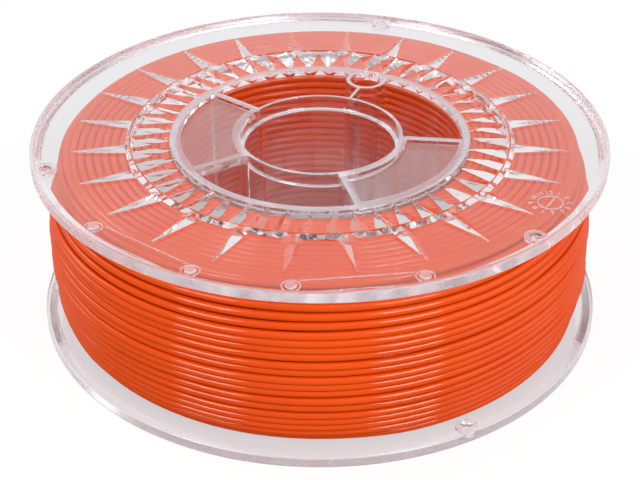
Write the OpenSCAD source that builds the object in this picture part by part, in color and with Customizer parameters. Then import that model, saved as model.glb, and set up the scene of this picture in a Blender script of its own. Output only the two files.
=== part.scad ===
// Filament spool: two clear flanges on a clear core, wound with one long strand.
// The spool axis is Z, the spool stands on the rim of its lower flange at z = 0,
// and the drive boss of the hub lies on +Y.

/* [Flanges] */
// Outer diameter of both flanges
flange_d = 200; // [196:1:210]
// Width of the spool from rim to rim
spool_w = 67; // [60:1:75]
// Height of the rim, which is the thickness of a flange at its edge
rim_h = 3.75; // [3.5:0.05:4.2]
// Width of the rim's flat top
rim_w = 1.1; // [0.9:0.1:1.6]
// Width of the slope from the rim down to the plate
rim_run = 3; // [2:0.1:4]
// Radius on the edges of the rim
rim_round = 0.4; // [0.2:0.1:0.6]
// Thickness of the flange plate
plate_t = 1.9; // [1.7:0.1:2]
// Distance from the flange's edge to the centre of a tie hole
tie_inset = 4.7; // [4.5:0.1:6]
// Diameter of a tie hole
tie_hole_d = 4.2; // [3.6:0.1:5]
// Wall round a tie hole
tie_wall = 1.6; // [1:0.1:2]
// Tie holes in each flange
tie_count = 3; // [2:1:6]
// Angle from the drive boss to the first tie hole
tie_angle = 7.5; // [5:0.5:25]

/* [Sunburst] */
// Long rays of the sunburst
ray_count = 24; // [18:2:30]
// Short teeth behind each ray
teeth_per_ray = 2; // [1:1:2]
// Diameter of the ridge that the rays and the teeth start from
ridge_d = 132; // [126:1:138]
// Diameter across the tips of the rays
ray_tip_d = 173; // [150:1:180]
// Width of a ray at the ridge
ray_w = 7.2; // [5:0.1:9]
// Width of a tooth at the ridge
tooth_w = 8.2; // [5:0.1:8.4]
// Height of a tooth above the plate, where it runs into the hub ring
tooth_tip_h = 0.8; // [0.5:0.1:0.9]
// Height of a ray above the plate at its tip
ray_tip_h = 0.1; // [0.05:0.05:0.3]
// Width of a ray or a tooth at its tip
tip_w = 0.3; // [0.2:0.05:0.6]
// Height of the sunburst above the plate
relief = 1.5; // [1.2:0.1:1.7]
// Flat width along the top of the ridge
ridge_flat = 0.5; // [0.3:0.1:0.8]
// Width of the ridge's outer slope
ridge_slope = 1.4; // [1:0.1:2.5]
// Width of the ridge's inner slope
ridge_back = 0.6; // [0.4:0.1:1.5]
// How far the ridge stands above the rays and the teeth
ridge_lead = 0.1; // [0.05:0.05:0.2]

/* [Hub] */
// Outer diameter of the drum that the strand is wound on
drum_d = 104.6; // [100:0.2:108]
// Wall of the drum
drum_wall = 2.3; // [1.8:0.1:2.8]
// Flat width of the flange's ring over the drum
hub_ring_w = 2.8; // [2.6:0.1:4]
// Depth of the hub's flats below the rim
hub_step = 0.7; // [0.4:0.1:1]
// Diameter of the spindle bore
bore_d = 52.6; // [50:0.2:56]
// Wall of the bore sleeve
sleeve_wall = 2.4; // [2:0.1:2.6]
// Ledge where the flange's collar steps down to the bore
bore_ledge = 1.4; // [1:0.1:1.6]
// Wall of the flange's collar
collar_wall = 1.3; // [1.2:0.1:1.8]
// Depth of the collar below the hub's flats
collar_depth = 4.9; // [4:0.1:8]
// Width of a spoke's flat
spoke_w = 2.6; // [2:0.1:3.5]
// Thickness of a radial wall in the core
rib_t = 1.8; // [1.4:0.1:2]
// How far the radial walls and the boss stay below the ends of the drum
rib_drop = 0.2; // [0.1:0.05:0.4]
// Angle from the drive boss to the near edge of a closed panel
panel_from = 74; // [66:1:78]
// Angle from the drive boss to the far edge of a closed panel
panel_to = 143; // [138:1:150]
// Depth of the recess in a closed panel
panel_recess = 1.2; // [0.6:0.1:1.5]
// Flat round a panel's recess, beside the collar
panel_inner_flat = 1.6; // [1:0.1:3]
// Flat round a panel's recess, beside the hub ring
panel_outer_flat = 1; // [0.3:0.1:2]
// Outer diameter of the drive boss
boss_d = 14.5; // [13.5:0.1:16]
// Diameter of the drive hole
drive_hole_d = 11.5; // [10:0.1:12]
// Drum wall that is left outside the boss
boss_skin = 0.25; // [0.2:0.05:0.5]
// Thickness of the rib between the collar and the drive boss
drive_rib_t = 1.2; // [1:0.1:2]

/* [Weld] */
// Width of the tongue on each end of the drum
tongue_w = 0.9; // [0.7:0.1:1.1]
// Height of the tongue on each end of the drum
tongue_h = 1; // [0.6:0.1:1.3]
// Gap between the core and a flange
weld_gap = 0.1; // [0.05:0.05:0.2]

/* [Winding] */
// Diameter of the strand
filament_d = 2.85; // [2.7:0.05:3]
// Diameter of the winding next to the flanges
winding_d = 181.4; // [160:1:184]
// Extra radius of the winding half way between the flanges
winding_bulge = 4; // [0.5:0.1:4]
// Gap between two turns of the outer layer
turn_gap = 0.42; // [0.42:0.02:0.8]
// Gap between the winding and a flange
side_gap = 0.3; // [0.2:0.05:0.6]
// Gap between the winding and the drum
drum_gap = 0.2; // [0.1:0.05:0.4]
// Gap between the outer layer and the layers under it
layer_gap = 0.15; // [0.15:0.05:0.3]
// Bend where the strand dives between the turns under it
dive_bend = 6; // [5:0.5:9]
// Room round the strand where it dives
dive_gap = 0.25; // [0.2:0.05:0.4]

/* [Hidden] */
$fn = 96;

// Overlap that lets two shapes of one moulding fuse
bite = 0.3;
// Overshoot of a cut past the face that it leaves by
past = 1;

clear_plastic = [0.86, 0.85, 0.88, 0.45];
strand_orange = [0.88, 0.28, 0.12];
under_orange = [0.72, 0.18, 0.08];

flange_r = flange_d / 2;
drum_r = drum_d / 2;
drum_in_r = drum_r - drum_wall;
ring_in_r = drum_r - hub_ring_w;
bore_r = bore_d / 2;
sleeve_r = bore_r + sleeve_wall;
collar_in_r = bore_r + bore_ledge;
collar_r = collar_in_r + collar_wall;
ridge_r = ridge_d / 2;
rim_slope = atan((rim_h - plate_t) / rim_run);
rim_top_r = flange_r - rim_w + rim_round * tan(rim_slope / 2);
boss_y = drum_r - boss_skin - boss_d / 2;
hub_t = rim_h - hub_step;
collar_low = hub_t - collar_depth;
spoke_angles = [panel_from, panel_to, -panel_to, -panel_from];

// Heights of the core between the two flanges
mid_z = spool_w / 2;
drum_low = rim_h + weld_gap;
drum_high = spool_w - drum_low;
rib_low = drum_low + rib_drop;
rib_high = spool_w - rib_low;
sleeve_low = rim_h - collar_low + weld_gap;
sleeve_high = spool_w - sleeve_low;
tongue_mid_r = drum_in_r + drum_wall / 2;

// The winding between the flanges
winding_low = rim_h + side_gap;
winding_high = spool_w - winding_low;
winding_half = mid_z - winding_low;
first_turn_z = winding_low + filament_d / 2;
last_turn_z = winding_high - filament_d / 2;
turn_count = floor((last_turn_z - first_turn_z) / (filament_d + turn_gap));
turn_pitch = (last_turn_z - first_turn_z) / turn_count;
rings_per_turn = 24;
strand_sides = 6;
bend_steps = 6;
barrel_steps = 12;

// Rings of the layers under the outer one, against the flanges and the drum
round_steps = 4;
ring_arc = 70;
ring_in = drum_r + drum_gap;
ring_room = inner_layers_r(winding_low) - ring_in;
side_rings = floor(ring_room / filament_d);
side_pitch = ring_room / side_rings;
drum_room = winding_high - winding_low - 2 * filament_d;
drum_rings = floor(drum_room / filament_d);
drum_pitch = drum_room / drum_rings;
ring_depth = filament_d / 2 * (1 - cos(ring_arc));

// Radius of the finished winding at a height
function winding_r(z) = winding_d / 2 + winding_bulge * (1 - pow((z - mid_z) / winding_half, 4));
// How far the straight runs between two rings of a turn dip below the rings
function run_dip(z) = winding_r(z) * (1 - cos(180 / rings_per_turn));
// Radius of the layers under the outer one at a height
function inner_layers_r(z) = winding_r(z) - filament_d - run_dip(z) - layer_gap;
// Radius of the strand's centre in the outer layer at a height
function turn_r(z) = winding_r(z) - filament_d / 2;

// Points of an arc round a centre
function arc(centre, radius, from, to) = [
    for (step = [0 : round_steps])
        let (angle = from + (to - from) * step / round_steps)
            centre + radius * [cos(angle), sin(angle)]
];

// Square-edged ring between two radii and two heights
module ring(inner_r, outer_r, low, high) {
    rotate_extrude()
        translate([inner_r, low])
            square([outer_r - inner_r, high - low]);
}

// Part of such a ring, between two angles from the drive boss
module ring_sector(inner_r, outer_r, low, high, from, to) {
    rotate([0, 0, 90 + from])
        rotate_extrude(angle = to - from)
            translate([inner_r, low])
                square([outer_r - inner_r, high - low]);
}

// Radial bar at an angle from the drive boss
module radial_bar(angle, from_r, to_r, width, low, high) {
    rotate([0, 0, 90 + angle])
        translate([from_r, -width / 2, low])
            cube([to_r - from_r, width, high - low]);
}

// Plate from the hub ring to the sloping rim, with the ridge of the sunburst
module flange_plate() {
    rotate_extrude()
        polygon([
            [ring_in_r, 0],
            each arc([flange_r - rim_round, rim_round], rim_round, -90, 0),
            each arc([flange_r - rim_round, rim_h - rim_round], rim_round, 0, 90),
            each arc([rim_top_r, rim_h - rim_round], rim_round, 90, 90 + rim_slope),
            [flange_r - rim_w - rim_run, plate_t],
            [ridge_r + ridge_flat / 2 + ridge_slope, plate_t],
            [ridge_r + ridge_flat / 2, plate_t + relief],
            [ridge_r - ridge_flat / 2, plate_t + relief],
            [ridge_r - ridge_flat / 2 - ridge_back, plate_t],
            [drum_r, plate_t],
            [drum_r, hub_t],
            [ring_in_r, hub_t],
        ]);
}

// Corners of a spike's section at a distance along it. The section is grown in proportion,
// so that its foot sinks into the plate and its outline on the plate stays.
function spike_section(along, width, height) =
    let (half = width / 2 * (height + bite) / height)
        [[along, -half, plate_t - bite], [along, half, plate_t - bite], [along, 0, plate_t + height]];

// Spike with a crest along its top, lying along +X from its widest end at the origin
module spike(length, width, tip_h) {
    polyhedron(
        points = concat(
            spike_section(0, width, relief - ridge_lead),
            spike_section(length, tip_w, tip_h)
        ),
        faces = [
            [0, 1, 2],
            [3, 5, 4],
            [0, 3, 4],
            [0, 4, 1],
            [1, 4, 5],
            [1, 5, 2],
            [2, 5, 3],
            [2, 3, 0],
        ]
    );
}

// Rays that point out of the ridge, and teeth that run in from it to the hub ring
module sunburst() {
    ray_length = ray_tip_d / 2 - ridge_r;
    tooth_length = ridge_r - drum_r + 2 * bite;
    tooth_count = ray_count * teeth_per_ray;
    for (ray = [0 : ray_count - 1])
        rotate([0, 0, 90 + ray * 360 / ray_count])
            translate([ridge_r, 0, 0])
                spike(ray_length, ray_w, ray_tip_h);
    for (tooth = [0 : tooth_count - 1])
        rotate([0, 0, 90 + (tooth + 0.5) * 360 / tooth_count])
            translate([ridge_r, 0, 0])
                rotate([0, 0, 180])
                    spike(tooth_length, tooth_w, tooth_tip_h);
}

// Collar, spokes and closed panels between the bore and the hub ring
module hub_spider() {
    ring(collar_in_r, collar_r, collar_low, hub_t);
    for (angle = spoke_angles)
        radial_bar(angle, collar_r - 2 * bite, ring_in_r + 2 * bite, spoke_w, 0, hub_t);
    radial_bar(0, collar_r - 2 * bite, boss_y - drive_hole_d / 2 - bite, drive_rib_t, 0, hub_t);
    for (side = [0, 1])
        mirror([side, 0, 0])
            ring_sector(collar_r - bite, ring_in_r + bite, 0, hub_t, panel_from, panel_to);
    translate([0, boss_y, 0])
        cylinder(d = boss_d, h = hub_t);
}

// Recess in the outer face of a closed panel, between the flats of its two spokes
module panel_pocket() {
    difference() {
        ring_sector(
            collar_r + panel_inner_flat,
            ring_in_r - panel_outer_flat,
            hub_t - panel_recess,
            hub_t + past,
            panel_from,
            panel_to
        );
        for (angle = [panel_from, panel_to])
            radial_bar(angle, 0, drum_r, spoke_w, 0, hub_t + 2 * past);
    }
}

// Places of the tie holes near the rim
module at_tie_holes() {
    for (hole = [0 : tie_count - 1])
        rotate([0, 0, 90 + tie_angle + hole * 360 / tie_count])
            translate([flange_r - tie_inset, 0, 0])
                children();
}

// One flange, with its winding face at z = 0 and its rim standing up
module flange() {
    difference() {
        union() {
            flange_plate();
            hub_spider();
            sunburst();
            at_tie_holes()
                cylinder(d = tie_hole_d + 2 * tie_wall, h = hub_t, $fn = 48);
        }
        for (side = [0, 1])
            mirror([side, 0, 0])
                panel_pocket();
        translate([0, boss_y, -past])
            cylinder(d = drive_hole_d, h = hub_t + 2 * past);
        at_tie_holes()
            translate([0, 0, -past])
                cylinder(d = tie_hole_d, h = rim_h + 2 * past, $fn = 48);
        ring(
            tongue_mid_r - tongue_w / 2 - weld_gap,
            tongue_mid_r + tongue_w / 2 + weld_gap,
            -past,
            tongue_h
        );
    }
}

module upper_flange() {
    color(clear_plastic)
        translate([0, 0, spool_w - rim_h])
            flange();
}

// The same moulding, turned over about the line through the drive boss
module lower_flange() {
    color(clear_plastic)
        translate([0, 0, rim_h])
            rotate([0, 180, 0])
                flange();
}

// Drum, bore sleeve, radial walls and drive boss, which are one moulding
module core() {
    color(clear_plastic)
        difference() {
            union() {
                ring(drum_in_r, drum_r, drum_low, drum_high);
                ring(
                    tongue_mid_r - tongue_w / 2,
                    tongue_mid_r + tongue_w / 2,
                    drum_low - tongue_h,
                    drum_high + tongue_h
                );
                ring(bore_r, sleeve_r, sleeve_low, sleeve_high);
                for (angle = spoke_angles)
                    radial_bar(angle, sleeve_r - bite, drum_in_r + bite, rib_t, rib_low, rib_high);
                radial_bar(
                    0,
                    sleeve_r - bite,
                    boss_y - drive_hole_d / 2 - bite,
                    drive_rib_t,
                    rib_low,
                    rib_high
                );
                translate([0, boss_y, rib_low])
                    cylinder(d = boss_d, h = rib_high - rib_low);
            }
            translate([0, boss_y, 0])
                cylinder(d = drive_hole_d, h = spool_w);
            for (seat = [sleeve_low - spool_w, sleeve_high])
                translate([0, 0, seat])
                    cylinder(r = collar_r + weld_gap, h = spool_w);
        }
}

// Room for the strand where it leaves the outer layer and dives towards the axis.
// The strand dives to the +Y side of its turn at one end and to the -Y side at the other.
module dive_room(z, way) {
    centre_r = turn_r(z) - dive_bend;
    room_d = filament_d + 2 * dive_gap;
    translate([centre_r, 0, z]) {
        rotate([0, 0, way > 0 ? 0 : -90])
            rotate_extrude(angle = 90)
                translate([dive_bend, 0])
                    circle(d = room_d, $fn = 32);
        translate([0, way * dive_bend, 0])
            rotate([0, -90, 0])
                cylinder(d = room_d, h = filament_d, $fn = 32);
    }
}

// Section of the layers under the outer one, with the rings that show through the clear plastic
function inner_section() = [
    for (ring = [0 : side_rings - 1])
        let (r = ring_in + (ring + 0.5) * side_pitch)
            each arc([r, winding_low + filament_d / 2], filament_d / 2, -90 - ring_arc, -90 + ring_arc),
    for (step = [0 : barrel_steps])
        let (z = winding_low + ring_depth + (winding_high - winding_low - 2 * ring_depth) * step / barrel_steps)
            [inner_layers_r(z), z],
    for (ring = [side_rings - 1 : -1 : 0])
        let (r = ring_in + (ring + 0.5) * side_pitch)
            each arc([r, winding_high - filament_d / 2], filament_d / 2, 90 - ring_arc, 90 + ring_arc),
    for (ring = [drum_rings - 1 : -1 : 0])
        let (z = winding_low + filament_d + (ring + 0.5) * drum_pitch)
            each arc([ring_in + filament_d / 2, z], filament_d / 2, 180 - ring_arc, 180 + ring_arc),
];

module filament_inner_layers() {
    color(under_orange)
        rotate([0, 0, 90])
            difference() {
                rotate_extrude()
                    polygon(inner_section());
                dive_room(first_turn_z, -1);
                dive_room(last_turn_z, 1);
            }
}

// Bend of the strand at one end of the outer layer, from the turn to the dive
function dive_bend_points(z, way) = [
    for (step = [1 : bend_steps])
        let (angle = 90 * step / bend_steps)
            [
                turn_r(z) - dive_bend + dive_bend * cos(angle),
                way * dive_bend * sin(angle),
                z,
            ]
];
// Deepest point of the strand at one end of the outer layer
function dive_end(z, way) = [turn_r(z) - dive_bend - filament_d, way * dive_bend, z];
// Turns of the outer layer, climbing from the lower flange to the upper one
function turn_points() = [
    for (ring = [0 : turn_count * rings_per_turn])
        let (
            angle = 360 * ring / rings_per_turn,
            z = first_turn_z + turn_pitch * ring / rings_per_turn
        )
            [turn_r(z) * cos(angle), turn_r(z) * sin(angle), z]
];
function reversed(list) = [for (i = [len(list) - 1 : -1 : 0]) list[i]];
function strand_path() = concat(
    [dive_end(first_turn_z, -1)],
    reversed(dive_bend_points(first_turn_z, -1)),
    turn_points(),
    dive_bend_points(last_turn_z, 1),
    [dive_end(last_turn_z, 1)]
);

// Corners of the strand's section round one point of its path
function strand_ring(path, i) =
    let (
        ahead = path[min(i + 1, len(path) - 1)] - path[max(i - 1, 0)],
        along = ahead / norm(ahead),
        across = cross(along, [0, 0, 1]),
        side = across / norm(across),
        up = cross(side, along)
    )
        [
            for (corner = [0 : strand_sides - 1])
                let (angle = 360 * corner / strand_sides)
                    path[i] + filament_d / 2 * (cos(angle) * side + sin(angle) * up)
        ];
// Least distance between points of the path that lie half a turn or more apart, less the strand
function least_gap(path) = min([
    for (i = [0 : len(path) - 1])
        for (j = [i + rings_per_turn / 2 : len(path) - 1])
            norm(path[j] - path[i])
]) - filament_d;

module filament_outer_layer() {
    path = strand_path();
    last = (len(path) - 1) * strand_sides;
    echo(turns = turn_count, least_gap_mm = least_gap(path));
    color(strand_orange)
        rotate([0, 0, 90])
            polyhedron(
                points = [for (i = [0 : len(path) - 1]) each strand_ring(path, i)],
                faces = [
                    for (i = [0 : len(path) - 2])
                        for (corner = [0 : strand_sides - 1])
                            let (
                                a = i * strand_sides + corner,
                                b = i * strand_sides + (corner + 1) % strand_sides,
                                c = a + strand_sides,
                                d = b + strand_sides
                            )
                                each [[a, b, c], [b, d, c]],
                    for (corner = [1 : strand_sides - 2])
                        each [
                            [0, corner + 1, corner],
                            [last, last + corner, last + corner + 1],
                        ],
                ]
            );
}

upper_flange();
lower_flange();
core();
filament_inner_layers();
filament_outer_layer();
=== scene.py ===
"""Looks of a clear filament spool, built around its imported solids."""

import math

import bmesh
import bpy
import numpy as np
from bpy.props import FloatProperty, FloatVectorProperty, IntProperty, PointerProperty
from bpy.types import Operator, Panel, PropertyGroup
from mathutils import Matrix, Vector


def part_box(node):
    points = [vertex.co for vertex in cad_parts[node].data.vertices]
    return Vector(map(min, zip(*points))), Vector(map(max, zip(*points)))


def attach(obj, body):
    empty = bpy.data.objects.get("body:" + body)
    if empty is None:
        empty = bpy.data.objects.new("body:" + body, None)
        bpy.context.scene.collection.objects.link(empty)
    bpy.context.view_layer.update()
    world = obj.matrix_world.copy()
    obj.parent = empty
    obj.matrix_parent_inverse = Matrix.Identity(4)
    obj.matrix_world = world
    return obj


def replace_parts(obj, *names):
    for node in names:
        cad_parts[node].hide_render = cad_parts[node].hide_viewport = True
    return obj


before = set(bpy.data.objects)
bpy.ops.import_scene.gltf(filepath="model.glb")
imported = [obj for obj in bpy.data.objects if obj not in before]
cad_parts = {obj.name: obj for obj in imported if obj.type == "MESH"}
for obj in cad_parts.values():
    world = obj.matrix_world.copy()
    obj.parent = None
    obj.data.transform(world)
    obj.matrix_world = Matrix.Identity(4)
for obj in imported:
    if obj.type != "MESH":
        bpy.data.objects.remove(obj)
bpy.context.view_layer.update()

bl_info = {
    "name": "Filament Spool",
    "version": (1, 0, 0),
    "blender": (4, 5, 0),
    "location": "3D View > Sidebar > Spool",
    "description": "Builds a clear filament spool with its winding and a studio stage",
    "category": "Mesh",
}

MM = 0.001
FLANGE_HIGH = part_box("upper_flange")[1]
CORE_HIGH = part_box("core")[1]
LAYERS_LOW, LAYERS_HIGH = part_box("filament_inner_layers")

# Steps round a turned piece, along a rounded corner, along a sector, round a post and round a stud
LATHE_STEPS = 288
ROUND_STEPS = 5
SECTOR_STEPS = 48
POST_STEPS = 64
STUD_STEPS = 32
# Share of a step by which the plate is turned, so that none of its corners meets one of a fused shape
PLATE_TURN = 0.4
# How far fused shapes reach into each other, and how far apart their faces are set so that none coincide
FUSE = 0.3 * MM
SKEW = 0.02 * MM
# Distance within which points are merged
MERGE = 0.001 * MM
# Distance from a flange's winding face within which its faces can be welded to the core
WELD_REACH = 0.1 * MM
# Least share of a direction along an axis that counts as lying along it
ALIGNED = 0.9

# Random knots per turn in a layer's gaps and sway, in a ring's radius and in a ring's depth
LAYER_KNOTS = 2.7
RING_KNOTS = 2
DEPTH_KNOTS = 1.4
# Points over which a strand's heights and radii are eased
HEIGHT_EASE = 9
RADIUS_EASE = 11
# Reach of a turn that rests on another and depth of the under layer, as shares of the strand's diameter
NEST = 0.93
UNDER_DEPTH = 0.85
# How far a turn of the under layer and of the outer layer may sink, as shares of the strand's diameter
UNDER_SINK = 0.1
OUTER_SINK = 0.12
# Depth of the body under both layers and of the dive at the strand's ends, as shares of the strand's diameter
BODY_DEPTH = 1.6
DIVE_DEPTH = 1.6
# Points over which the strand's ends dive, and heights at which the body's outline is worked out
DIVE_POINTS = 14
BODY_STEPS = 13
# Powers by which the winding narrows above and below its middle
UPPER_FALL = 2
LOWER_FALL = 4

# Attribute of a strand that says how far its surface faces up, and the span of it over which the coat grows:
# painted sheen on faces that point up and painted shade on the reflections of faces that point down
UPPER_SIDE = "upper_side"
PAINTED_SHEEN_SPAN = (0.1, 0.6)
# Span of a noise that is mapped to a range of a finish
NOISE_SPAN = (0.3, 0.7)
PLASTIC_IOR = 1.59

# Span of the view's direction over which the white back grows
BACK_SPAN = (0.1, 0.7)
# Spans of the upward direction over which the back dims and the ceiling grows
DIM_SPAN = (0.45, 0.65)
CEILING_SPAN = (0.4, 0.9)
# Half of the floor's width in metres, its glow, and the share of the glow that each kind of ray sees
FLOOR_HALF = 6.0
FLOOR_GLOW = 1.17
FLOOR_SHARES = {"Is Camera Ray": 0.76, "Is Transmission Ray": 0.58, "Is Glossy Ray": 0.6}
# Distance of the lamps and the height that they look at, in metres
LAMP_DISTANCE = 1.05
LAMP_AIM = 0.03
# Width of the camera's sensor in millimetres, and its near limit in metres
SENSOR = 36.0
NEAR_LIMIT = 0.01
BOUNCES = 48


def decimal(name, description, value, **settings):
    """A number property."""
    return FloatProperty(name=name, description=description, default=value, **settings)


def whole_number(name, description, value):
    """A property that counts something."""
    return IntProperty(name=name, description=description, default=value)


def length(name, description, millimetres):
    """A size property in metres, with its default written in millimetres."""
    return decimal(name, description, millimetres * MM, precision=5, unit="LENGTH", subtype="DISTANCE")


def angle(name, description, degrees):
    """An angle property, with its default written in degrees."""
    return decimal(name, description, math.radians(degrees), precision=4, subtype="ANGLE")


def watts(name, description, value):
    """A lamp's power property."""
    return decimal(name, description, value, unit="POWER")


def colour(name, description, rgb):
    """A linear colour property."""
    return FloatVectorProperty(
        name=name, description=description, default=rgb, size=3, min=0.0, max=1.0, subtype="COLOR"
    )


class FlangeSizes(PropertyGroup):
    """Sizes of the two flanges and their sunburst."""

    radius: decimal("Radius", "Outer radius of a flange", FLANGE_HIGH.x, unit="LENGTH")
    width: decimal("Width", "Spool width from rim to rim", FLANGE_HIGH.z, unit="LENGTH")
    rim_height: length("Rim height", "Thickness of a flange at its edge", 3.75)
    rim_width: length("Rim width", "Width of the rim's flat top", 1.1)
    rim_run: length("Rim run", "Width of the slope from the rim down to the plate", 3)
    rim_round: length("Rim round", "Radius on the edges of the rim", 0.4)
    plate: length("Plate", "Thickness of the flange plate", 1.9)
    edge_round: length("Edge round", "Radius on the moulded edges of the hub", 0.15)
    ridge_radius: length("Ridge radius", "Radius of the ridge that the rays start from", 66)
    ridge_flat: length("Ridge flat", "Flat width along the top of the ridge", 0.5)
    ridge_slope: length("Ridge slope", "Width of the ridge's outer slope", 1.4)
    ridge_back: length("Ridge back", "Width of the ridge's inner slope", 0.6)
    ridge_lead: length("Ridge lead", "How far the ridge stands above the rays", 0.1)
    relief: length("Relief", "Height of the ridge above the plate", 1.5)
    ray_count: whole_number("Rays", "Long rays of the sunburst", 24)
    teeth_per_ray: whole_number("Teeth per ray", "Short teeth behind a ray", 2)
    ray_tip_radius: length("Ray tips", "Radius at the tips of the rays", 86.5)
    ray_width: length("Ray width", "Width of a ray at the ridge", 7.2)
    tooth_width: length("Tooth width", "Width of a tooth at the ridge", 8.2)
    tooth_tip: length("Tooth tip", "Height of a tooth above the plate where it meets the hub ring", 0.8)
    tip_width: length("Tip width", "Width of a ray or a tooth at its tip", 0.3)
    tie_inset: length("Tie inset", "Distance from the edge to a tie hole's centre", 4.7)
    tie_hole: length("Tie hole", "Diameter of a tie hole", 4.2)
    tie_wall: length("Tie wall", "Wall round a tie hole", 1.6)
    tie_count: whole_number("Tie holes", "Tie holes in a flange", 3)
    tie_angle: angle("Tie angle", "Angle from the drive boss to the first tie hole", 7.5)


class MarkSizes(PropertyGroup):
    """Sizes of the bare moulded marks on the upper flange."""

    height: length("Height", "Height of a line above the plate", 0.2)
    line: length("Line", "Width of a line", 0.4)
    stud: length("Stud", "Diameter of the stud at each end of a bare plaque", 4)
    stud_height: length("Stud height", "Height of a stud above the plate", 0.8)
    stud_ring: length("Stud ring", "Diameter of the line round a stud", 5.8)
    stud_radius: length("Stud radius", "Radius at which the studs stand", 93.6)
    plaque_low: length("Plaque, low", "Distance from the axis to a plaque's inner line", 89)
    plaque_high: length("Plaque, high", "Distance from the axis to a plaque's outer line", 95.4)
    plaque_reach: angle("Plaque reach", "Half of the angle between a plaque's studs", 12.6)
    first_plaque: angle("First plaque", "Angle from the drive boss to a plaque", 165)
    second_plaque: angle("Second plaque", "Angle from the drive boss to a plaque", 209.7)
    dial: length("Dial", "Diameter of the dial's ring", 8.2)
    hand_reach: length("Hand reach", "Half of the length of the dial's hand", 2.952)
    number_radius: length("Number radius", "Distance from the dial's centre to its numbers", 6.1)
    number_height: length("Number height", "Text size of the dial's numbers", 3)
    dial_radius: length("Dial radius", "Radius at which the dial lies", 87.5)
    dial_angle: angle("Dial angle", "Angle from the drive boss to the dial", 261.3)
    dial_numbers: whole_number("Dial numbers", "Plain numbers round the dial", 12)


class HubSizes(PropertyGroup):
    """Sizes of the hub in the flanges and of the core between them."""

    drum_radius: decimal("Drum radius", "Outer radius of the drum", CORE_HIGH.x, unit="LENGTH")
    drum_wall: length("Drum wall", "Wall of the drum", 2.3)
    ring_width: length("Ring width", "Flat width of the hub ring", 2.8)
    step: length("Hub step", "Depth of the hub's flats below the rim", 0.7)
    bore_radius: length("Bore radius", "Radius of the spindle bore", 26.3)
    sleeve_wall: length("Sleeve wall", "Wall of the bore sleeve", 2.4)
    ledge: length("Bore ledge", "Step from the collar down to the bore", 1.4)
    collar_wall: length("Collar wall", "Wall of the flange's collar", 1.3)
    collar_depth: length("Collar depth", "Depth of the collar below the hub's flats", 4.9)
    spoke_width: length("Spoke width", "Width of a spoke's flat", 2.6)
    rib: length("Rib", "Thickness of a radial wall in the core", 1.8)
    drive_rib: length("Drive rib", "Thickness of the rib at the drive boss", 1.2)
    boss: length("Boss", "Outer diameter of the drive boss", 14.5)
    drive_hole: length("Drive hole", "Diameter of the drive hole", 11.5)
    boss_skin: length("Boss skin", "Drum wall left outside the boss", 0.25)
    recess: length("Panel recess", "Depth of the recess in a closed panel", 1.2)
    inner_flat: length("Inner flat", "Flat beside the collar round a recess", 1.6)
    outer_flat: length("Outer flat", "Flat beside the hub ring round a recess", 1)
    weld_gap: length("Weld gap", "Gap between the core and a flange", 0.1)
    panel_from: angle("Panel from", "Angle from the drive boss to the near edge of a closed panel", 74)
    panel_to: angle("Panel to", "Angle from the drive boss to the far edge of a closed panel", 143)


class WindingSizes(PropertyGroup):
    """Sizes of the strand and of the layers that it is wound in."""

    strand: length("Strand", "Diameter of the filament", 2.7)
    closest: length("Closest", "Least distance between two turns of a layer", 2.5)
    tightness: decimal("Tightness", "How rare the gaps between turns are", -0.2)
    sway: length("Sway", "How far a turn of the outer layer strays in radius", 0.35)
    full_radius: length("Full radius", "Radius of the winding half way between the flanges", 95.6)
    upper_radius: length("Upper radius", "Radius of the winding next to the upper flange", 89)
    lower_radius: length("Lower radius", "Radius of the winding next to the lower flange", 91.3)
    ring_inset: length("Ring inset", "Distance from the winding's edge to the last ring's centre", 1.2)
    crest: length("Crest", "How far a turn may ride above the winding's radius", 0.5)
    outer_turns: decimal("Outer turns", "Turns in the outer layer", 21.0)
    under_turns: decimal("Under turns", "Turns in the layer below it", 20.4)
    side_turns: decimal("Side turns", "Rings against a flange", 14.0)
    drum_turns: decimal("Drum turns", "Turns on the drum", 20.2)
    ring_stray: length("Ring stray", "How far a ring or a turn on the drum strays", 0.125)
    ring_depth: length("Ring depth", "Mean depth of a ring behind the end of the winding", 0.1625)
    drum_gap: length("Drum gap", "Gap between the winding and the drum", 0.2)
    points_per_turn: whole_number("Points", "Points along one turn", 120)
    sides: whole_number("Sides", "Sides of the strand's section", 12)
    seed: whole_number("Seed", "Seed of the strand's wander", 7)


class SpoolColours(PropertyGroup):
    """Colours of the finishes."""

    clear: colour("Clear plastic", "Tint of the clear plastic", (0.92, 0.90, 0.92))
    rim: colour("Clear plastic, rim", "Colour of the satin rim and flats", (0.90, 0.85, 0.91))
    passing: colour("Passing light", "Tint of the light that passes the clear plastic", (0.97, 0.965, 0.97))
    strand: colour("Filament", "Filament colour", (0.88, 0.092, 0.004))
    strand_deep: colour("Filament, deep", "Deeper filament colour", (0.78, 0.06, 0.003))
    floor: colour("Floor", "Colour of the studio floor", (0.5, 0.5, 0.5))


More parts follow.
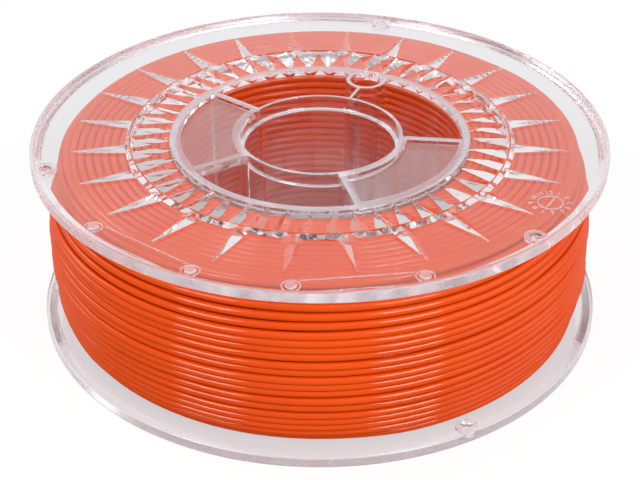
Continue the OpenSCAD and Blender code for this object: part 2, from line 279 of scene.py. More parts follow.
class StageSetup(PropertyGroup):
    """Camera and lamps of the studio."""

    azimuth: angle("Azimuth", "Turn of the camera about the spool", 22.5)
    distance: length("Distance", "Camera's distance from the spool axis", 479.9)
    side_step: length("Side step", "Camera's shift to its right", -0.76)
    height: length("Height", "Camera's height above the floor", 327.5)
    pitch: angle("Pitch", "How far the camera looks down", 32.476)
    yaw: angle("Yaw", "How far the camera looks to its right", 0.0974)
    lens: decimal("Lens", "Focal length for a 36 mm sensor, in mm", 87.98)
    world_low: decimal("World, low", "Strength of the dim front", 0.15)
    world_high: decimal("World, high", "Strength of the white back", 0.97)
    ceiling: decimal("Ceiling", "Brightness of the ceiling beside the back", 0.5)
    left: watts("Left box", "Power of the left soft box", 3.5)
    right: watts("Right box", "Power of the right soft box", 4.4)
    left_side: watts("Left side", "Power of the box behind the left side", 1.8)
    right_side: watts("Right side", "Power of the box beside the right side", 2.2)
    box_size: length("Box size", "Width of a soft box", 400)
    side_box_size: length("Side box size", "Width of the box beside the right side", 900)


def flange_sizes():
    return bpy.context.scene.spool_flange


def mark_sizes():
    return bpy.context.scene.spool_marks


def hub_sizes():
    return bpy.context.scene.spool_hub


def winding_sizes():
    return bpy.context.scene.spool_winding


def spool_colours():
    return bpy.context.scene.spool_colours


# Meshes


def give_materials(mesh, *materials):
    """Leaves a mesh with these materials alone."""
    mesh.materials.clear()
    for material in materials:
        mesh.materials.append(material)


def show(mesh, name, material=None):
    """A new object in the scene for a mesh."""
    piece = bpy.data.objects.new(name, mesh)
    bpy.context.scene.collection.objects.link(piece)
    if material is not None:
        give_materials(mesh, material)
    return piece


def mesh_of(shape, name):
    """The mesh of a shape that is finished."""
    mesh = bpy.data.meshes.new(name)
    shape.to_mesh(mesh)
    shape.free()
    return mesh


def mesh_from(name, points, faces, smooth=False):
    """A closed mesh with its normals outwards."""
    mesh = bpy.data.meshes.new(name)
    mesh.from_pydata(points, [], faces, shade_flat=not smooth)
    shape = bmesh.new()
    shape.from_mesh(mesh)
    bmesh.ops.recalc_face_normals(shape, faces=shape.faces)
    shape.to_mesh(mesh)
    shape.free()
    return mesh


def rounded(corners):
    """A closed outline of (r, z) points from corners given as (r, z, rounding radius)."""
    outline = []
    count = len(corners)
    for i, (r, z, radius) in enumerate(corners):
        here = Vector((r, z))
        if radius == 0:
            outline.append((r, z))
            continue
        back = (Vector(corners[i - 1][:2]) - here).normalized()
        ahead = (Vector(corners[(i + 1) % count][:2]) - here).normalized()
        half = back.angle(ahead) / 2
        centre = here + (back + ahead).normalized() * (radius / math.sin(half))
        start = here + back * (radius / math.tan(half)) - centre
        end = here + ahead * (radius / math.tan(half)) - centre
        turn = start.angle_signed(end)
        for step in range(ROUND_STEPS + 1):
            spot = centre + Matrix.Rotation(-turn * step / ROUND_STEPS, 2) @ start
            outline.append((spot.x, spot.y))
    return outline


def lathe(name, corners, steps=LATHE_STEPS):
    """A ring turned about Z from a closed outline of rounded corners."""
    outline = rounded(corners)
    size = len(outline)
    points = []
    faces = []
    for step in range(steps):
        around = 2 * math.pi * step / steps
        for r, z in outline:
            points.append((r * math.cos(around), r * math.sin(around), z))
        after = (step + 1) % steps
        for i in range(size):
            j = (i + 1) % size
            faces.append((step * size + i, step * size + j, after * size + j, after * size + i))
    return mesh_from(name, points, faces, smooth=True)


def ring(name, inner, outer, low, high, soft_foot=0, soft_top=0, steps=LATHE_STEPS):
    """A plain ring about Z, with rounded edges at its foot and at its top."""
    foot = [(inner, low, soft_foot), (outer, low, soft_foot)]
    top = [(outer, high, soft_top), (inner, high, soft_top)]
    return lathe(name, foot + top, steps)


def moved(mesh, matrix):
    mesh.transform(matrix)
    return mesh


def turned(around):
    """A turn about Z from the drive boss, which lies on +Y."""
    return Matrix.Rotation(math.radians(90) + around, 4, "Z")


def place_at(around, radius):
    """A place at an angle from the drive boss and at a distance from the axis."""
    return turned(around) @ Matrix.Translation((radius, 0, 0))


def sector(name, inner, outer, low, high, start, end):
    """A part of a square-edged ring between two angles from the drive boss."""
    points = []
    faces = []
    for step in range(SECTOR_STEPS + 1):
        around = math.radians(90) + start + (end - start) * step / SECTOR_STEPS
        for r, z in ((inner, low), (outer, low), (outer, high), (inner, high)):
            points.append((r * math.cos(around), r * math.sin(around), z))
    for step in range(SECTOR_STEPS):
        for i in range(4):
            j = (i + 1) % 4
            faces.append((step * 4 + i, step * 4 + j, step * 4 + 4 + j, step * 4 + 4 + i))
    faces.append((3, 2, 1, 0))
    faces.append(tuple(SECTOR_STEPS * 4 + i for i in range(4)))
    return mesh_from(name, points, faces)


def bar(name, around, start, end, width, low, high, soft):
    """A radial bar with rounded edges along its top and its foot."""
    shape = bmesh.new()
    bmesh.ops.create_cube(shape, size=1.0)
    place = Matrix.Translation(((start + end) / 2, 0, (low + high) / 2))
    place = place @ Matrix.Diagonal((end - start, width, high - low, 1))
    bmesh.ops.transform(shape, matrix=turned(around) @ place, verts=shape.verts)
    along = turned(around) @ Vector((1, 0, 0))
    edges = []
    for edge in shape.edges:
        first, second = edge.verts
        if abs((first.co - second.co).normalized().dot(along)) > ALIGNED:
            edges.append(edge)
    bmesh.ops.bevel(shape, geom=edges, offset=soft, segments=3, profile=0.5, affect="EDGES")
    return mesh_of(shape, name)


def post(name, radius, low, high, steps=POST_STEPS, top_radius=None):
    """An upright cylinder on the Z axis, or a cone that narrows to a top."""
    top_radius = radius if top_radius is None else top_radius
    shape = bmesh.new()
    bmesh.ops.create_cone(
        shape, cap_ends=True, segments=steps, radius1=radius, radius2=top_radius, depth=high - low
    )
    bmesh.ops.translate(shape, vec=(0, 0, (low + high) / 2), verts=shape.verts)
    for face in shape.faces:
        face.smooth = len(face.verts) == 4
    return mesh_of(shape, name)


def gathered(name, meshes):
    """One mesh that holds several closed shapes."""
    shape = bmesh.new()
    for mesh in meshes:
        shape.from_mesh(mesh)
        bpy.data.meshes.remove(mesh)
    return mesh_of(shape, name)


def plain_mesh(piece):
    """A new mesh of what an object shows."""
    depsgraph = bpy.context.evaluated_depsgraph_get()
    return bpy.data.meshes.new_from_object(piece.evaluated_get(depsgraph))


def settled(piece):
    """Turns an object's modifiers into its plain mesh."""
    mesh = plain_mesh(piece)
    piece.modifiers.clear()
    piece.data = mesh
    mesh.name = piece.name
    return piece


def combined(piece, tool_mesh, operation):
    """Fuses a mesh to a piece, or cuts it out of it."""
    tool = show(tool_mesh, piece.name + "_tool")
    modifier = piece.modifiers.new("Combine", "BOOLEAN")
    modifier.operation = operation
    modifier.solver = "EXACT"
    modifier.use_self = True
    modifier.object = tool
    settled(piece)
    bpy.data.objects.remove(tool)
    bpy.data.meshes.remove(tool_mesh)
    return piece


def smoothed(piece):
    """Normals that keep wide flats flat and let the small rounds turn between them."""
    modifier = piece.modifiers.new("Normals", "WEIGHTED_NORMAL")
    modifier.mode = "FACE_AREA"
    modifier.weight = 100
    modifier.keep_sharp = True
    return settled(piece)


# Node trees


def set_inputs(tree, node, inputs):
    """Sets a node's inputs to values, or links them from sockets or from the first outputs of nodes."""
    for key, value in inputs.items():
        if isinstance(value, bpy.types.Node):
            value = value.outputs[0]
        if isinstance(value, bpy.types.NodeSocket):
            tree.links.new(value, node.inputs[key])
        else:
            node.inputs[key].default_value = value


def add_node(tree, kind, inputs=None, **settings):
    """A node with its settings and its inputs."""
    node = tree.nodes.new(kind)
    for name, value in settings.items():
        setattr(node, name, value)
    set_inputs(tree, node, inputs or {})
    return node


def maths(tree, operation, first, second):
    """One step of arithmetic."""
    return add_node(tree, "ShaderNodeMath", {0: first, 1: second}, operation=operation)


def ramp(tree, value, span, low, high):
    """A value mapped from a span of its own to a range."""
    return add_node(tree, "ShaderNodeMapRange", {0: value, 1: span[0], 2: span[1], 3: low, 4: high})


def new_tree(name, kind, inputs, outputs):
    """A node group with named inputs and outputs, each with its kind of socket."""
    tree = bpy.data.node_groups.new(name, kind)
    for in_out, sockets in (("INPUT", inputs), ("OUTPUT", outputs)):
        for label, socket in sockets.items():
            tree.interface.new_socket(name=label, in_out=in_out, socket_type="NodeSocket" + socket)
    return tree, tree.nodes.new("NodeGroupInput").outputs, tree.nodes.new("NodeGroupOutput")


def end_tree(tree, given, result, shape):
    """Ends a geometry tree with a plain mesh in the material that it is given."""
    real = add_node(tree, "GeometryNodeRealizeInstances", {0: shape})
    dressed = add_node(tree, "GeometryNodeSetMaterial", {"Geometry": real, "Material": given["Material"]})
    set_inputs(tree, result, {"Geometry": dressed})
    return tree


def run_tree(piece, tree, values):
    """Runs a geometry tree on a piece with its named inputs, and keeps the result as a plain mesh."""
    modifier = piece.modifiers.new(tree.name, "NODES")
    modifier.node_group = tree
    for item in tree.interface.items_tree:
        if item.in_out == "INPUT" and item.name in values:
            modifier[item.identifier] = values[item.name]
    return settled(piece)


def strand_tree():
    """A round strand along the path of edges that the tree runs on."""
    name = "Strand"
    if name in bpy.data.node_groups:
        return bpy.data.node_groups[name]
    inputs = {"Geometry": "Geometry", "Strand radius": "Float", "Sides": "Int", "Material": "Material"}
    tree, given, result = new_tree(name, "GeometryNodeTree", inputs, {"Geometry": "Geometry"})
    path = add_node(tree, "GeometryNodeMeshToCurve", {0: given["Geometry"]})
    section = add_node(
        tree,
        "GeometryNodeCurvePrimitiveCircle",
        {"Resolution": given["Sides"], "Radius": given["Strand radius"]},
    )
    tube = add_node(
        tree, "GeometryNodeCurveToMesh", {"Curve": path, "Profile Curve": section, "Fill Caps": True}
    )
    smooth = add_node(tree, "GeometryNodeSetShadeSmooth", {0: tube})
    # How far each face points up, kept for the painted sheen and painted shade in the filament's coat
    normal = add_node(tree, "GeometryNodeInputNormal").outputs["Normal"]
    upwards = add_node(tree, "ShaderNodeSeparateXYZ", {0: normal}).outputs["Z"]
    marked = add_node(
        tree, "GeometryNodeStoreNamedAttribute", {"Geometry": smooth, "Name": UPPER_SIDE, "Value": upwards}
    )
    return end_tree(tree, given, result, marked)


def sunburst_tree():
    """Copies of one spike set out round the ridge, and fused to the flange that the tree runs on."""
    name = "Sunburst"
    if name in bpy.data.node_groups:
        return bpy.data.node_groups[name]
    inputs = {
        "Geometry": "Geometry",
        "Spike": "Object",
        "Count": "Int",
        "Offset": "Float",
        "Material": "Material",
    }
    tree, given, result = new_tree(name, "GeometryNodeTree", inputs, {"Geometry": "Geometry"})
    spots = add_node(tree, "GeometryNodePoints", {"Count": given["Count"]})
    index = add_node(tree, "GeometryNodeInputIndex")
    share = maths(tree, "DIVIDE", maths(tree, "ADD", index, given["Offset"]), given["Count"])
    around = maths(tree, "ADD", maths(tree, "MULTIPLY", share, 2 * math.pi), math.pi / 2)
    spin = add_node(tree, "ShaderNodeCombineXYZ", {2: around})
    spike = add_node(tree, "GeometryNodeObjectInfo", {"Object": given["Spike"]}).outputs["Geometry"]
    copies = add_node(
        tree, "GeometryNodeInstanceOnPoints", {"Points": spots, "Instance": spike, "Rotation": spin}
    )
    real = add_node(tree, "GeometryNodeRealizeInstances", {0: copies})
    fused = add_node(
        tree, "GeometryNodeMeshBoolean", {"Self Intersection": True}, operation="UNION", solver="EXACT"
    )
    tree.links.new(given["Geometry"], fused.inputs["Mesh 2"])
    tree.links.new(real.outputs[0], fused.inputs["Mesh 2"])
    return end_tree(tree, given, result, fused)


# Materials


def variation_group():
    """Slow and fine unevenness of a moulded or drawn surface, by object coordinates."""
    name = "Surface variation"
    if name in bpy.data.node_groups:
        return bpy.data.node_groups[name]
    inputs = {"Slow scale": "Float", "Fine scale": "Float"}
    tree, given, result = new_tree(name, "ShaderNodeTree", inputs, {"Slow": "Float", "Fine": "Float"})
    spot = add_node(tree, "ShaderNodeTexCoord").outputs["Object"]
    for label, detail in (("Slow", 2.0), ("Fine", 3.0)):
        noise = add_node(
            tree, "ShaderNodeTexNoise", {"Vector": spot, "Scale": given[label + " scale"], "Detail": detail}
        )
        set_inputs(tree, result, {label: noise})
    return tree


def new_material(name):
    """A material with its tree and its shader, or one that is built already without them."""
    material = bpy.data.materials.get(name)
    if material is not None:
        return material, None, None
    material = bpy.data.materials.new(name)
    material.use_nodes = True
    tree = material.node_tree
    return material, tree, tree.nodes["Principled BSDF"]


def variation(tree, slow_scale, fine_scale):
    """The slow and the fine unevenness in a material."""
    scales = {"Slow scale": slow_scale, "Fine scale": fine_scale}
    return add_node(tree, "ShaderNodeGroup", scales, node_tree=variation_group()).outputs


def spread(tree, noise, low, high):
    """A noise mapped to a range."""
    return ramp(tree, noise, NOISE_SPAN, low, high)


def show_mix(tree, share, first, second):
    """Shows a mix of two shaders on a material's surface."""
    mix = add_node(tree, "ShaderNodeMixShader", {0: share, 1: first, 2: second})
    set_inputs(tree, tree.nodes["Material Output"], {"Surface": mix})


def polystyrene(name, tint, transmission, smoothest, roughest):
    """Clear polystyrene with a finish of its own, which lets the lamps reach what is under it."""
    material, tree, shader = new_material(name)
    if tree is None:
        return material
    wave = variation(tree, slow_scale=60.0, fine_scale=700.0)
    finish = {
        "Base Color": (*tint, 1.0),
        "Transmission Weight": transmission,
        "IOR": PLASTIC_IOR,
        "Roughness": spread(tree, wave["Slow"], smoothest, roughest),
    }
    set_inputs(tree, shader, finish)
    passing = add_node(tree, "ShaderNodeBsdfTransparent", {0: (*spool_colours().passing, 1.0)})
    ray = add_node(tree, "ShaderNodeLightPath").outputs
    show_mix(tree, maths(tree, "MAXIMUM", ray["Is Shadow Ray"], ray["Is Diffuse Ray"]), shader, passing)
    return material


def clear_plastic():
    """The polished finish of the plates, the rays and the core."""
    tint = spool_colours().clear
    return polystyrene("clear_polystyrene", tint, transmission=1.0, smoothest=0.01, roughest=0.05)


def clear_panel():
    """The slightly hazy finish of the closed panels."""
    tint = spool_colours().clear
    return polystyrene("clear_polystyrene_panel", tint, transmission=0.93, smoothest=0.02, roughest=0.06)


def clear_rim():
    """The pale satin finish of the rim and of the hub's flats."""
    tint = spool_colours().rim
    return polystyrene("clear_polystyrene_rim", tint, transmission=0.72, smoothest=0.22, roughest=0.32)


def weld():
    """A welded joint, where light passes from one moulding into the other unbent."""
    material, tree, shader = new_material("clear_weld")
    if tree is None:
        return material
    wave = variation(tree, slow_scale=80.0, fine_scale=600.0)
    finish = {"Base Color": (*spool_colours().clear, 1.0), "Alpha": spread(tree, wave["Slow"], 0.0, 0.02)}
    set_inputs(tree, shader, finish)
    return material


def filament():
    """Extruded orange plastic with a satin gloss, whose coat grows on faces that point up: painted sheen on
    the upper side and painted shade on the lower side's reflections.
    """
    material, tree, shader = new_material("filament_orange")
    if tree is None:
        return material
    wave = variation(tree, slow_scale=35.0, fine_scale=1200.0)
    shades = {
        0: spread(tree, wave["Slow"], 0.0, 0.45),
        6: (*spool_colours().strand, 1.0),
        7: (*spool_colours().strand_deep, 1.0),
    }
    shade = add_node(tree, "ShaderNodeMix", shades, data_type="RGBA").outputs[2]
    upper = add_node(tree, "ShaderNodeAttribute", attribute_name=UPPER_SIDE).outputs["Fac"]
    # Coat weight from how far a face points up: painted sheen on upper sides, painted shade on the
    # reflections of lower sides
    painted_sheen = ramp(tree, upper, PAINTED_SHEEN_SPAN, 0.04, 0.3)
    worn = spread(tree, wave["Slow"], 0.85, 1.0)
    finish = {
        "Base Color": shade,
        "Roughness": spread(tree, wave["Fine"], 0.4, 0.5),
        "Specular IOR Level": 0.02,
        "Coat Weight": maths(tree, "MULTIPLY", painted_sheen, worn),
        "Coat Roughness": 0.07,
        "Coat IOR": 2.2,
    }
    set_inputs(tree, shader, finish)
    return material


# Pieces


def dress(piece, slot, *nodes):
    """Makes a piece part of the spool, in place of solids of the frame."""
    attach(piece, "root")
    if nodes:
        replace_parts(piece, *nodes)
    return piece


def hub_height():
    """Height of the hub's flats above a flange's winding face."""
    return flange_sizes().rim_height - hub_sizes().step


def collar_radius():
    """Outer radius of a flange's collar."""
    hub = hub_sizes()
    return hub.bore_radius + hub.ledge + hub.collar_wall


def boss_distance():
    """Distance from the spool's axis to the drive hole's."""
    hub = hub_sizes()
    return hub.drum_radius - hub.boss_skin - hub.boss / 2


def drive_hole(low, high):
    """The drive hole, to be cut out."""
    hole = post("drive_hole", hub_sizes().drive_hole / 2, low, high)
    return moved(hole, Matrix.Translation((0, boss_distance(), 0)))


def drive_boss(start, low, high, soft):
    """The boss round the drive hole, and the rib that runs out to it from a radius."""
    hub = hub_sizes()
    end = boss_distance() - hub.drive_hole / 2 - FUSE
    rib = bar("drive_rib", 0, start, end, hub.drive_rib, low, high, soft)
    boss = post("boss", hub.boss / 2, low + SKEW, high - SKEW)
    return [rib, moved(boss, Matrix.Translation((0, boss_distance(), 0)))]


def spike_mesh(name, reach, width, tip_height):
    """A spike with a crest along its top, from the sunburst's ridge to a reach."""
    sizes = flange_sizes()
    points = []
    ends = (
        (sizes.ridge_radius, width, sizes.relief - sizes.ridge_lead),
        (reach, sizes.tip_width, tip_height),
    )
    for r, across, height in ends:
        foot = across / 2 * (height + FUSE) / height
        points.append((r, -foot, sizes.plate - FUSE))
        points.append((r, foot, sizes.plate - FUSE))
        points.append((r, 0, sizes.plate + height))
    return mesh_from(name, points, [(0, 1, 2), (3, 4, 5), (0, 1, 4, 3), (1, 2, 5, 4), (2, 0, 3, 5)])


def line_ring(radius, low, high):
    """A raised line round a circle on the Z axis."""
    half = mark_sizes().line / 2
    return ring("line_ring", radius - half, radius + half, low, high, steps=POST_STEPS)


def plain_number(number, low, high):
    """A raised number at the origin, with its top towards +Y."""
    figures = bpy.data.curves.new("number", "FONT")
    figures.body = str(number)
    figures.size = mark_sizes().number_height
    figures.align_x = "CENTER"
    figures.align_y = "CENTER"
    figures.extrude = (high - low) / 2
    figures.resolution_u = 2
    holder = show(figures, "number")
    mesh = plain_mesh(holder)
    bpy.data.objects.remove(holder)
    shape = bmesh.new()
    shape.from_mesh(mesh)
    bmesh.ops.remove_doubles(shape, verts=shape.verts, dist=MERGE)
    bmesh.ops.recalc_face_normals(shape, faces=shape.faces)
    bmesh.ops.translate(shape, vec=(0, 0, (low + high) / 2), verts=shape.verts)
    shape.to_mesh(mesh)
    shape.free()
    mesh.materials.clear()
    return mesh


def mark_meshes():
    """Bare plaques, their studs and a plain dial, as they stand on a flange."""
    sizes = mark_sizes()
    foot = flange_sizes().plate - FUSE
    high = flange_sizes().plate + sizes.height
    stud_high = flange_sizes().plate + sizes.stud_height
    stud = sizes.stud / 2
    stud_top = stud - sizes.stud_height / 2
    soft = sizes.line / 4
    meshes = []
    for middle in (sizes.first_plaque, sizes.second_plaque):
        for side in (-1, 1):
            place = place_at(middle + side * sizes.plaque_reach, sizes.stud_radius)
            meshes.append(moved(post("stud", stud, foot, stud_high, STUD_STEPS, stud_top), place))
            meshes.append(moved(line_ring(sizes.stud_ring / 2, foot, high), place))
        reach = sizes.stud_radius * math.sin(sizes.plaque_reach) - sizes.stud_ring / 2
        for distance in (sizes.plaque_low, sizes.plaque_high):
            line = bar("line", middle + math.pi / 2, -reach, reach, sizes.line, foot, high, soft)
            meshes.append(moved(line, place_at(middle, distance) @ turned(middle).inverted()))
    place = place_at(sizes.dial_angle, sizes.dial_radius)
    meshes.append(moved(line_ring(sizes.dial / 2, foot, high), place))
    hand = bar("hand", 0, -sizes.hand_reach, sizes.hand_reach, 2 * sizes.line, foot, high, soft)
    meshes.append(moved(hand, place))
    for step in range(sizes.dial_numbers):
        spin = Matrix.Rotation(-2 * math.pi * step / sizes.dial_numbers, 4, "Z")
        out = Matrix.Translation((0, sizes.number_radius, 0))
        meshes.append(moved(plain_number(step + 1, foot, high), place @ spin @ out))
    return meshes


def flange_plate():
    """The plate of a flange with its rim, the sunburst's ridge and the hub ring."""
    sizes = flange_sizes()
    hub = hub_sizes()
    soft = sizes.edge_round
    hub_top = hub_height()
    ring_in = hub.drum_radius - hub.ring_width
    rim_in = sizes.radius - sizes.rim_width
    crest = sizes.plate + sizes.relief
    ridge_out = sizes.ridge_radius + sizes.ridge_flat / 2
    ridge_in = sizes.ridge_radius - sizes.ridge_flat / 2
    plate = lathe(
        "plate",
        [
            (ring_in, 0, soft / 2),
            (hub.drum_radius - hub.drum_wall, 0, 0),
            (hub.drum_radius, 0, 0),
            (sizes.radius, 0, sizes.rim_round),
            (sizes.radius, sizes.rim_height, sizes.rim_round),
            (rim_in, sizes.rim_height, sizes.rim_round),
            (rim_in - sizes.rim_run, sizes.plate, soft),
            (ridge_out + sizes.ridge_slope, sizes.plate, soft / 4),
            (ridge_out, crest, soft / 4),
            (ridge_in, crest, soft / 4),
            (ridge_in - sizes.ridge_back, sizes.plate, soft / 4),
            (hub.drum_radius, sizes.plate, soft),
            (hub.drum_radius, hub_top, soft),
            (ring_in, hub_top, soft),
        ],
    )
    return moved(plate, Matrix.Rotation(PLATE_TURN * 2 * math.pi / LATHE_STEPS, 4, "Z"))


def flange_spider():
    """The collar, the closed panels, the spokes and the drive boss inside a flange's hub ring."""
    hub = hub_sizes()
    soft = flange_sizes().edge_round
    hub_top = hub_height()
    ring_in = hub.drum_radius - hub.ring_width
    collar = collar_radius()
    collar_in = hub.bore_radius + hub.ledge
    inner = collar + hub.inner_flat
    outer = ring_in - hub.outer_flat
    low = 2 * SKEW
    high = hub_top - SKEW
    spoke = (hub.spoke_width, 3 * SKEW, hub_top - 2 * SKEW, soft)
    meshes = [ring("collar", collar_in, collar, hub_top - hub.collar_depth, hub_top, soft / 2, soft)]
    for start, end in ((hub.panel_from, hub.panel_to), (-hub.panel_to, -hub.panel_from)):
        meshes.append(sector("panel", collar - FUSE, ring_in + FUSE, SKEW, hub_top - hub.recess, start, end))
        meshes.append(sector("inner_flat", collar - 2 * FUSE, inner, low, high, start, end))
        meshes.append(sector("outer_flat", outer, ring_in + 2 * FUSE, low, high, start, end))
        for around in (start, end):
            meshes.append(bar("spoke", around, collar - 3 * FUSE, ring_in + 3 * FUSE, *spoke))
    return meshes + drive_boss(collar - 3 * FUSE, 3 * SKEW, hub_top - 2 * SKEW, soft)


def plain_flange(name):
    """A flange without marks, with its winding face at z = 0 and its rim standing up."""
    sizes = flange_sizes()
    hub = hub_sizes()
    flange = show(flange_plate(), name)
    ties = [
        place_at(sizes.tie_angle + 2 * math.pi * hole / sizes.tie_count, sizes.radius - sizes.tie_inset)
        for hole in range(sizes.tie_count)
    ]
    fused = flange_spider()
    for place in ties:
        tie_boss = post("tie_boss", sizes.tie_hole / 2 + sizes.tie_wall, 5 * SKEW, hub_height())
        fused.append(moved(tie_boss, place))
    combined(flange, gathered("spider", fused), "UNION")
    tooth_count = sizes.ray_count * sizes.teeth_per_ray
    tooth_reach = hub.drum_radius - 2 * FUSE
    spikes = (
        ("ray", sizes.ray_tip_radius, sizes.ray_width, sizes.tip_width / 2, sizes.ray_count, 0.0),
        ("tooth", tooth_reach, sizes.tooth_width, sizes.tooth_tip, tooth_count, 0.5),
    )
    for kind, reach, width, tip_height, count, offset in spikes:
        spike = show(spike_mesh(kind, reach, width, tip_height), kind)
        values = {"Spike": spike, "Count": count, "Offset": offset, "Material": clear_plastic()}
        run_tree(flange, sunburst_tree(), values)
        bpy.data.objects.remove(spike)
    low = -sizes.rim_height
    high = 2 * sizes.rim_height
    holes = [drive_hole(low, high)]
    for place in ties:
        holes.append(moved(post("tie_hole", sizes.tie_hole / 2, low, high), place))
    return combined(flange, gathered("holes", holes), "DIFFERENCE")


def finish_flange(mesh):
    """Gives each face of a flange the polished, satin, hazy or welded finish."""
    sizes = flange_sizes()
    hub = hub_sizes()
    marks = mark_sizes()
    give_materials(mesh, clear_plastic(), clear_rim(), clear_panel(), weld())
    polished, satin, hazy, welded = range(4)
    # The feet of the spokes lie above this height, and all flats of the hub above the other one
    spoke_feet = 2.5 * SKEW
    hub_flats = hub_height() - 4 * SKEW
    rim_in = sizes.radius - sizes.rim_width - sizes.edge_round
    slope_in = rim_in - sizes.rim_run
    dial = place_at(marks.dial_angle, marks.dial_radius).translation
    for face in mesh.polygons:
        r = face.center.xy.length
        z = face.center.z
        under = face.normal.z < -ALIGNED and abs(z) < WELD_REACH
        joined = hub.drum_radius - hub.drum_wall < r < hub.drum_radius
        spoke = z > spoke_feet and r < hub.drum_radius
        in_hub = face.normal.z > ALIGNED and r < hub.drum_radius
        on_dial = (face.center.xy - dial.xy).length < marks.number_radius + marks.number_height
        mark = z > sizes.plate + marks.height / 2 and (on_dial or sizes.ray_tip_radius < r < slope_in)
        face.material_index = polished
        if under and (joined or spoke):
            face.material_index = welded
        elif r > rim_in or mark or in_hub and z > hub_flats:
            face.material_index = satin
        elif in_hub and z < sizes.plate:
            face.material_index = hazy


class SPOOL_OT_flanges(Operator):
    """Builds both flanges: like mouldings either way up, with bare marks on the upper one"""

    bl_idname = "spool.flanges"
    bl_label = "Flanges"

    def execute(self, context):
        sizes = flange_sizes()
        lower = plain_flange("lower_flange_clear")
        upper = show(lower.data.copy(), "upper_flange_clear")
        combined(upper, gathered("marks", mark_meshes()), "UNION")
        lifted = Matrix.Translation((0, 0, sizes.width - sizes.rim_height))
        turned_over = Matrix.Translation((0, 0, sizes.rim_height)) @ Matrix.Rotation(math.pi, 4, "Y")
        for piece, place, node in ((upper, lifted, "upper_flange"), (lower, turned_over, "lower_flange")):
            finish_flange(piece.data)
            piece.data.transform(place)
            dress(smoothed(piece), "clear_plastic", node)
        return {"FINISHED"}


class SPOOL_OT_core(Operator):
    """Builds the core: drum, bore sleeve, radial walls and drive boss"""

    bl_idname = "spool.core"
    bl_label = "Core"

    def execute(self, context):
        sizes = flange_sizes()
        hub = hub_sizes()
        soft = sizes.edge_round
        low = sizes.rim_height + hub.weld_gap
        sleeve_low = sizes.rim_height + hub.collar_depth - hub_height() + hub.weld_gap
        sleeve_high = sizes.width - sleeve_low
        drum_in = hub.drum_radius - hub.drum_wall
        sleeve = hub.bore_radius + hub.sleeve_wall
        drum = ring("drum", drum_in, hub.drum_radius, low, sizes.width - low, soft / 2, soft / 2)
        core = show(drum, "core_clear")
        parts = [ring("sleeve", hub.bore_radius, sleeve, sleeve_low, sleeve_high, soft, soft)]
        rib_low = low + 2 * hub.weld_gap
        rib = (hub.rib, rib_low, sizes.width - rib_low, soft / 2)
        for around in (hub.panel_from, hub.panel_to, -hub.panel_to, -hub.panel_from):
            parts.append(bar("rib", around, sleeve - FUSE, drum_in + FUSE, *rib))
        parts += drive_boss(sleeve - FUSE, rib_low, sizes.width - rib_low, soft / 2)
        combined(core, gathered("inner", parts), "UNION")
        holes = [drive_hole(0, sizes.width)]
        for seat_low, seat_high in ((0, sleeve_low), (sleeve_high, sizes.width)):
            holes.append(post("seat", collar_radius() + hub.weld_gap, seat_low, seat_high, LATHE_STEPS))
        combined(core, gathered("holes", holes), "DIFFERENCE")
        give_materials(core.data, clear_plastic(), weld())
        for face in core.data.polygons:
            end = abs(face.center.z - sizes.width / 2) > sizes.width / 2 - rib_low - soft
            face.material_index = int(end and abs(face.normal.z) > ALIGNED)
        dress(smoothed(core), "clear_plastic", "core")
        return {"FINISHED"}


def eased(values, width):
    """Values along a strand, eased over a number of points."""
    window = np.hanning(width + 2)[1:-1]
    padded = np.pad(values, width // 2, mode="edge")
    return np.convolve(padded, window / window.sum(), mode="valid")[: len(values)]


def stray(random, count, per_turn, amount):
    """A slow random wander along a strand."""
    points = winding_sizes().points_per_turn
    spots = np.arange(count) * per_turn / points
    knots = random.uniform(-1, 1, int(spots[-1]) + 2)
    return eased(amount * np.interp(spots, np.arange(len(knots)), knots), int(points / per_turn) | 1)


def wound_heights(random, turns, start, end):
    """Heights along a strand whose turns lie side by side, with a gap here and there."""
    sizes = winding_sizes()
    points = sizes.points_per_turn
    count = int(turns * points)
    pitch = abs(end - start) / (turns - 1)
    closest = min(sizes.closest, pitch)
    gaps = np.clip(stray(random, count, LAYER_KNOTS, 1.0) - sizes.tightness, 0, None)
    steps = closest + (pitch - closest) * gaps / gaps.mean()
    heights = pitch * (np.arange(count) / points - 0.5)
    for point in range(points, count):
        heights[point] = heights[point - points] + steps[point]
    heights = np.clip(heights, 0, abs(end - start))
    return start + math.copysign(1, end - start) * eased(heights, HEIGHT_EASE)


def resting_radii(heights, laid, least):
    """Radius at which each point of a strand comes to rest on the turns that are laid already."""
    reach = NEST * winding_sizes().strand
    radii = np.array(least, dtype=float)
    for point, height in enumerate(heights):
        below = laid[point % len(laid)]
        for other_height, other_radius in below:
            gap = abs(height - other_height)
            if gap < reach:
                radii[point] = max(radii[point], other_radius + math.sqrt(reach ** 2 - gap ** 2))
        below.append((height, radii[point]))
    return eased(radii, RADIUS_EASE)


def winding_radius(heights):
    """Outer radius of the winding at a height, which is fullest in its lower half."""
    sizes = winding_sizes()
    middle = (LAYERS_LOW.z + LAYERS_HIGH.z) / 2
    from_middle = (heights - middle) / (LAYERS_HIGH.z - middle)
    edge = np.where(from_middle > 0, sizes.upper_radius, sizes.lower_radius)
    fall = np.where(from_middle > 0, UPPER_FALL, LOWER_FALL)
    return sizes.full_radius - (sizes.full_radius - edge) * np.abs(from_middle) ** fall


def strand(name, radii, heights):
    """One strand of the winding as its own piece, starting at the drive boss."""
    sizes = winding_sizes()
    angles = math.pi / 2 + 2 * math.pi * np.arange(len(radii)) / sizes.points_per_turn
    points = np.column_stack((radii * np.cos(angles), radii * np.sin(angles), heights))
    mesh = bpy.data.meshes.new(name)
    mesh.from_pydata(points, [(i, i + 1) for i in range(len(points) - 1)], [])
    values = {"Strand radius": sizes.strand / 2, "Sides": sizes.sides, "Material": filament()}
    return dress(run_tree(show(mesh, name), strand_tree(), values), "filament")


